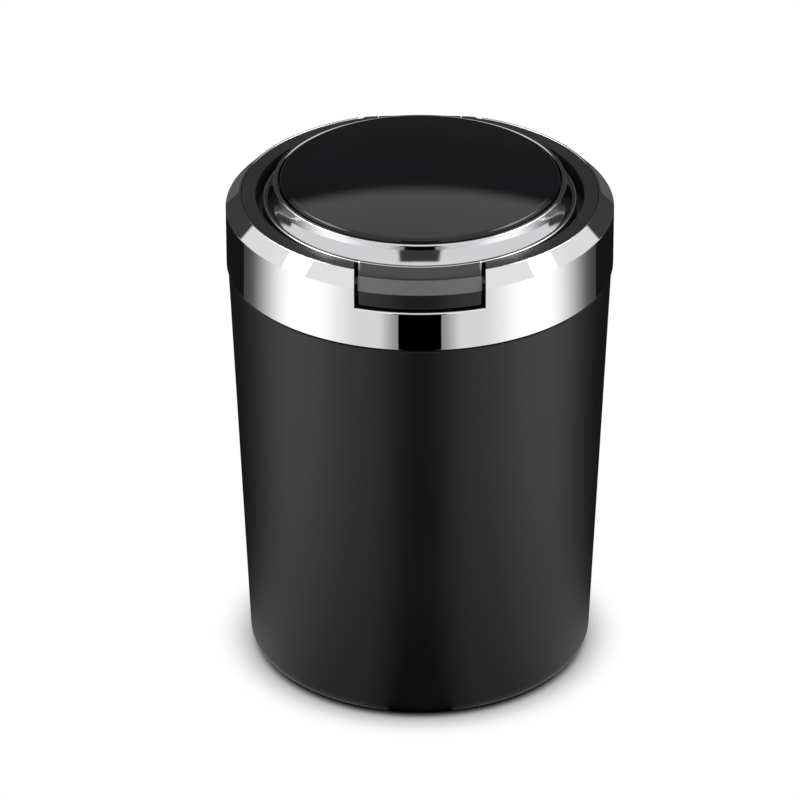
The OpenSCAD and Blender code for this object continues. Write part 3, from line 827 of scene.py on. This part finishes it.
@dataclass
class Lid:
    """The lid: rim, lift tab, knuckle, chrome bevel and gloss disc."""

    rim_r: float = 29.1
    rim_z: float = 93.85
    low_z: float = 91.5
    gasket_in_r: float = 27.25
    gasket_out_r: float = 28.55
    gasket_z: float = 92.1
    pocket_r: float = 23.1
    upstand_r: float = 26.2
    upstand_in_r: float = 24.4
    bevel_r: float = 28.4
    bevel_top_r: float = 27.15
    bevel_in_r: float = 26.3
    bevel_z: float = 97.25
    bulge: float = 0.22
    disc_r: float = 26.0
    disc_round: float = 0.9
    crown_z: float = 100.0
    disc_wall: float = 1.8
    tab_half: float = 11.3
    tab_r: float = 35.2
    tab_in_r: float = 33.95
    tab_low: float = 88.35
    tab_plate: float = 1.65
    chamfer_r: float = 33.75
    chamfer_z: float = 91.15
    hinge_y: float = 31.2
    hinge_z: float = 92.15
    barrel_r: float = 2.6
    barrel_crown: float = 0.5
    knuckle_half: float = 7.75
    block_half: float = 11.15
    arm_r: float = 28.3

    def rim(self) -> bpy.types.Object:
        """The lid's flat rim with its upstand and the gasket's groove."""
        up = self.bevel_z - 1.6
        return lathe("lid_rim", rounded([
            Corner(self.pocket_r, self.low_z, 0.15), Corner(self.gasket_in_r, self.low_z),
            Corner(self.gasket_in_r, self.gasket_z), Corner(self.gasket_out_r, self.gasket_z),
            Corner(self.gasket_out_r, self.low_z), Corner(self.rim_r, self.low_z, 0.25),
            Corner(self.rim_r, self.rim_z - 0.02, 0.28), Corner(self.upstand_r, self.rim_z - 0.02),
            Corner(self.upstand_r, up), Corner(self.upstand_in_r, up),
            Corner(self.upstand_in_r, self.rim_z - 0.6), Corner(self.pocket_r, self.rim_z - 0.6),
        ], 5))

    def tab(self) -> bpy.types.Object:
        """The lift tab: plate, chamfer and face, with rounded ends."""
        inner = self.rim_r - 1.5
        under = self.rim_z - self.tab_plate
        return sweep("lid_tab", rounded([
            Corner(inner, self.rim_z), Corner(self.chamfer_r, self.rim_z, 0.35),
            Corner(self.tab_r, self.chamfer_z, 0.5), Corner(self.tab_r, self.tab_low, 0.3),
            Corner(self.tab_in_r, self.tab_low, 0.1), Corner(self.tab_in_r, self.chamfer_z),
            Corner(self.tab_in_r - 0.25, under), Corner(inner, under),
        ], 6), self.tab_half, ends=0.45)

    def knuckle(self) -> bpy.types.Object:
        """The hinge knuckle, slightly barrel-shaped, with the arm that joins it to the rim."""
        bm = bmesh.new()
        count, sides = 24, 48
        rows = []
        for i in range(count + 1):
            x = self.knuckle_half * (2 * i / count - 1)
            r = self.barrel_r - self.barrel_crown / 2 * (x / self.block_half) ** 2
            rows.append([
                bm.verts.new((x, self.hinge_y + r * math.cos(a), self.hinge_z + r * math.sin(a)))
                for a in (2 * math.pi * k / sides for k in range(sides))])
        skin(bm, rows, False)
        bm.faces.new(rows[0])
        bm.faces.new(rows[-1])
        barrel = finished("lid_knuckle", bm)
        arm = [
            (self.arm_r, self.low_z), (self.hinge_y, self.low_z), (self.hinge_y, self.rim_z),
            (self.arm_r, self.rim_z)]
        return carve(barrel, [sweep("arm", arm, self.knuckle_half, rear=True)], "UNION")

    def bevel(self) -> bpy.types.Object:
        """The chromed cove ring."""
        rise = self.bevel_z - self.rim_z - 0.3
        wide = self.bevel_r - self.bevel_top_r
        cove = [
            (self.bevel_r - wide * t - self.bulge * math.sin(math.pi * t), self.rim_z + rise * t)
            for t in (i / 12 for i in range(13))]
        top = [
            (self.bevel_top_r - 0.3 + 0.3 * math.cos(a), self.bevel_z - 0.3 + 0.3 * math.sin(a))
            for a in (math.pi / 2 * k / 6 for k in range(1, 7))]
        inner = [
            (self.bevel_in_r + 0.2, self.bevel_z), (self.bevel_in_r + 0.06, self.bevel_z - 0.06),
            (self.bevel_in_r, self.bevel_z - 0.2), (self.bevel_in_r, self.rim_z)]
        return lathe("lid_cove", cove + top + inner)

    def disc(self) -> bpy.types.Object:
        """The gloss disc: a shallow dome with a rounded edge, hollow below."""
        low = self.bevel_z - 1.6
        edge = self.bevel_z - 0.25
        dome_r = self.disc_r - self.disc_round
        rise = self.crown_z - (edge + self.disc_round)
        ball = (dome_r ** 2 + rise ** 2) / (2 * rise)
        tilt = math.asin(dome_r / ball)
        steps = 12
        section = [(0.0, self.crown_z - self.disc_wall)]
        hollow = self.upstand_in_r + 0.2
        reach = math.asin(hollow / (ball - self.disc_wall))
        for k in range(1, steps + 1):
            a = reach * k / steps
            section.append((
                (ball - self.disc_wall) * math.sin(a),
                self.crown_z - ball + (ball - self.disc_wall) * math.cos(a)))
        section += [(hollow, low), (self.disc_r, low)]
        for k in range(steps + 1):
            a = (math.pi / 2 - tilt) * k / steps
            section.append((
                self.disc_r - self.disc_round * (1 - math.cos(a)), edge + self.disc_round * math.sin(a)))
        count = 40
        for k in range(1, count + 1):
            a = tilt * (1 - k / count)
            section.append((ball * math.sin(a), self.crown_z - ball + ball * math.cos(a)))
        section[-1] = (0.0, self.crown_z)
        return lathe("lid_dome", section)

    def build(self, shop: Workshop) -> None:
        """Builds and dresses the lid's pieces."""
        shop.place(self.rim(), Body.LID, "lid_plastic", "lid_frame")
        shop.place(self.tab(), Body.LID, "lid_plastic")
        shop.place(self.knuckle(), Body.LID, "lid_plastic")
        shop.place(self.bevel(), Body.LID, "bevel_chrome", "lid_bezel")
        shop.place(self.disc(), Body.LID, "disc_gloss", "lid_disc")
        shop.keep("silicone", "lid_gasket")
        shop.keep("inner_plastic", "lid_inner", "battery_cover")
        shop.keep("screw_steel", "lid_screws", "battery_screw")


@dataclass
class Lamp:
    """The small lamp inside the lid."""

    slots: dict[str, tuple[str, ...]] = field(default_factory=lambda: {
        "lens_clear": ("light_lens",), "board_green": ("led_board",), "led_white": ("leds",),
        "switch_metal": ("tilt_switch",), "cell_steel": ("coin_cell",),
        "contact_brass": ("cell_clip", "cell_leaf"),
    })

    def build(self, shop: Workshop) -> None:
        """Dresses the lamp's pieces."""
        for slot, names in self.slots.items():
            shop.keep(slot, *names)


# --- Studio ---------------------------------------------------------------------------------------


@dataclass
class Studio:
    """Floor, world, lamps and camera."""

    distance: float = 1.125
    elevation: float = 28.71
    aim_z: float = 0.05
    focal_px: float = 5962.0
    frame_px: float = 800.0
    aim_px: tuple[float, float] = (419.9, 402.7)
    front_card: float = 11.5
    back_edge: float = 119.0
    floor_half: float = 3000.0
    shadow_reach: float = 0.010
    dark_wall: float = 0.055
    lamp_power: float = 0.9
    lamp_size: tuple[float, float] = (0.34, 0.2)
    lamp_turn: float = 105.0
    lamp_up: float = 48.0
    lamp_far: float = 0.55
    lamp_aim: float = 0.09

    def camera(self) -> None:
        """The camera at the photograph's angle."""
        data = bpy.data.cameras.new("camera")
        data.sensor_fit = "HORIZONTAL"
        data.sensor_width = 36
        data.lens = self.focal_px / self.frame_px * data.sensor_width
        data.shift_x = (self.frame_px / 2 - self.aim_px[0]) / self.frame_px
        data.shift_y = (self.aim_px[1] - self.frame_px / 2) / self.frame_px
        data.clip_start = 0.01
        camera = bpy.data.objects.new("camera", data)
        lift = math.radians(self.elevation)
        camera.location = (0, -self.distance * math.cos(lift), self.aim_z + self.distance * math.sin(lift))
        camera.rotation_euler = (math.pi / 2 - lift, 0, 0)
        bpy.context.scene.collection.objects.link(camera)
        bpy.context.scene.camera = camera

    def floor(self) -> None:
        """A plain pale floor that shows white with a contact shadow painted from ambient occlusion, and shows in
        the metal with painted shade close to the object.
        """
        bm = bmesh.new()
        bmesh.ops.create_grid(bm, x_segments=1, y_segments=1, size=self.floor_half)
        floor = finished("floor", bm, recalc=False)
        material = bpy.data.materials.new("floor")
        material.use_nodes = True
        tree = Tree(material.node_tree)
        place = tree.millimetres()
        x, y, _ = tree.axes(place)
        around = abs(x).atan2(y * -1.0) * (180 / math.pi)
        far = tree.radius(x, y)
        card = around.step(self.front_card - 0.3, self.front_card + 0.3)
        rise = around.step(self.front_card, 24.0) * 0.42 + 0.13
        crest = around.step(32.0, 64.0) * 0.45 * around.step(110.0, 70.0)
        base = around.step(119.0, 96.0) * 0.25
        glow = (rise * around.step(112.0, 70.0) + crest + base * 0.4 + 0.06) * card
        # Painted shade: what the metal and plastic see of the floor is darker close to the object, in place of
        # the object's shadow on it.
        painted_shade_near = far.step(30.0, 150.0) * 0.55 + 0.45
        behind = around.step(self.back_edge + 0.4, self.back_edge - 0.4)
        grey = far.step(190.0, 320.0) * 0.09 + 0.008
        seen = glow * painted_shade_near * behind + (1 - behind) * grey
        mirror = tree.raw("ShaderNodeEmission", {}, {"Color": rgb(1), "Strength": seen})
        # Painted shadow: the floor's colour to the camera is darkened by ambient occlusion round the object's
        # foot, a contact shadow painted into its emission.
        open_sky = tree.node(
            "ShaderNodeAmbientOcclusion", {"samples": 16},
            {"Color": rgb(1), "Distance": self.shadow_reach}, out="AO")
        shade = open_sky.step(0.12, 0.93)
        white = tree.mix(shade, rgb(0), rgb(1))
        plain = tree.raw("ShaderNodeEmission", {}, {"Color": white, "Strength": 1.0})
        pale = tree.raw("ShaderNodeBsdfDiffuse", {}, {"Color": rgb(0.8)})
        path = tree.raw("ShaderNodeLightPath", {}, {})
        camera, glossy, through = (
            Sock(tree, path.outputs[f"Is {ray} Ray"]) for ray in ("Camera", "Glossy", "Transmission"))
        bounced = tree.node("ShaderNodeMixShader", {}, {
            0: glossy.at_least(through), 1: Sock(tree, pale.outputs[0]), 2: Sock(tree, mirror.outputs[0])})
        shown = tree.node("ShaderNodeMixShader", {}, {
            0: camera, 1: bounced, 2: Sock(tree, plain.outputs[0])})
        tree.raw("ShaderNodeOutputMaterial", {}, {0: shown})
        dress(floor, material)
        floor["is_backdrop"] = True

    def world(self) -> None:
        """A white room with a dark card in front and a dark wall behind, white to the camera."""
        world = bpy.data.worlds.new("room")
        bpy.context.scene.world = world
        world.use_nodes = True
        tree = Tree(world.node_tree)
        way = tree.node("ShaderNodeTexCoord", {}, {}, out="Generated")
        x, y, z = tree.axes(way)
        around = abs(x).atan2(y * -1.0) * (180 / math.pi)
        up = z * 90.0
        top = up.step(47.0, 53.0)
        card = around.step(14.0, 17.0)
        walls = around.step(128.0, 126.0) * up.step(8.0, 16.0)
        low = around.step(110.0, 107.0) * up.step(16.0, 8.0)
        sides = card * (walls + low) * 0.95
        light = (top + (1 - top) * sides).at_least(self.dark_wall)
        path = tree.raw("ShaderNodeLightPath", {}, {})
        camera = Sock(tree, path.outputs["Is Camera Ray"])
        sky = tree.raw("ShaderNodeBackground", {}, {"Strength": camera + (1 - camera) * light})
        tree.raw("ShaderNodeOutputWorld", {}, {0: Sock(tree, sky.outputs[0])})

    def lamps(self) -> None:
        """Two soft lamps, high at the left and the right."""
        for side in (-1, 1):
            data = bpy.data.lights.new(f"lamp_{side}", "AREA")
            data.shape = "RECTANGLE"
            data.size, data.size_y = self.lamp_size
            data.energy = self.lamp_power
            lamp = bpy.data.objects.new(f"lamp_{side}", data)
            a, up = math.radians(self.lamp_turn * side), math.radians(self.lamp_up)
            way = Vector((math.sin(a) * math.cos(up), -math.cos(a) * math.cos(up), math.sin(up)))
            at = way * self.lamp_far
            lamp.location = at + Vector((0, 0, self.lamp_aim))
            lamp.rotation_euler = (-at).to_track_quat("-Z", "Y").to_euler()
            lamp.visible_camera = False
            bpy.context.scene.collection.objects.link(lamp)

    def build(self) -> None:
        """Sets up everything round the object."""
        self.camera()
        self.floor()
        self.world()
        self.lamps()
        bpy.context.scene.view_settings.view_transform = "Standard"


def main(frame: dict[str, Any], packed_box: Any) -> None:
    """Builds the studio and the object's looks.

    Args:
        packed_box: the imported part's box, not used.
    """
    logging.basicConfig(level=logging.INFO, format="%(name)s: %(message)s")
    Studio().build()
    shop = Workshop(frame["nodes"], Paint().make())
    for part in (Cup(), Head(), Lid(), Lamp()):
        LOG.info("building %s", type(part).__name__)
        part.build(shop)
    bpy.context.view_layer.update()


if __name__ == "__main__":
    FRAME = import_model()
    main(FRAME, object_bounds())
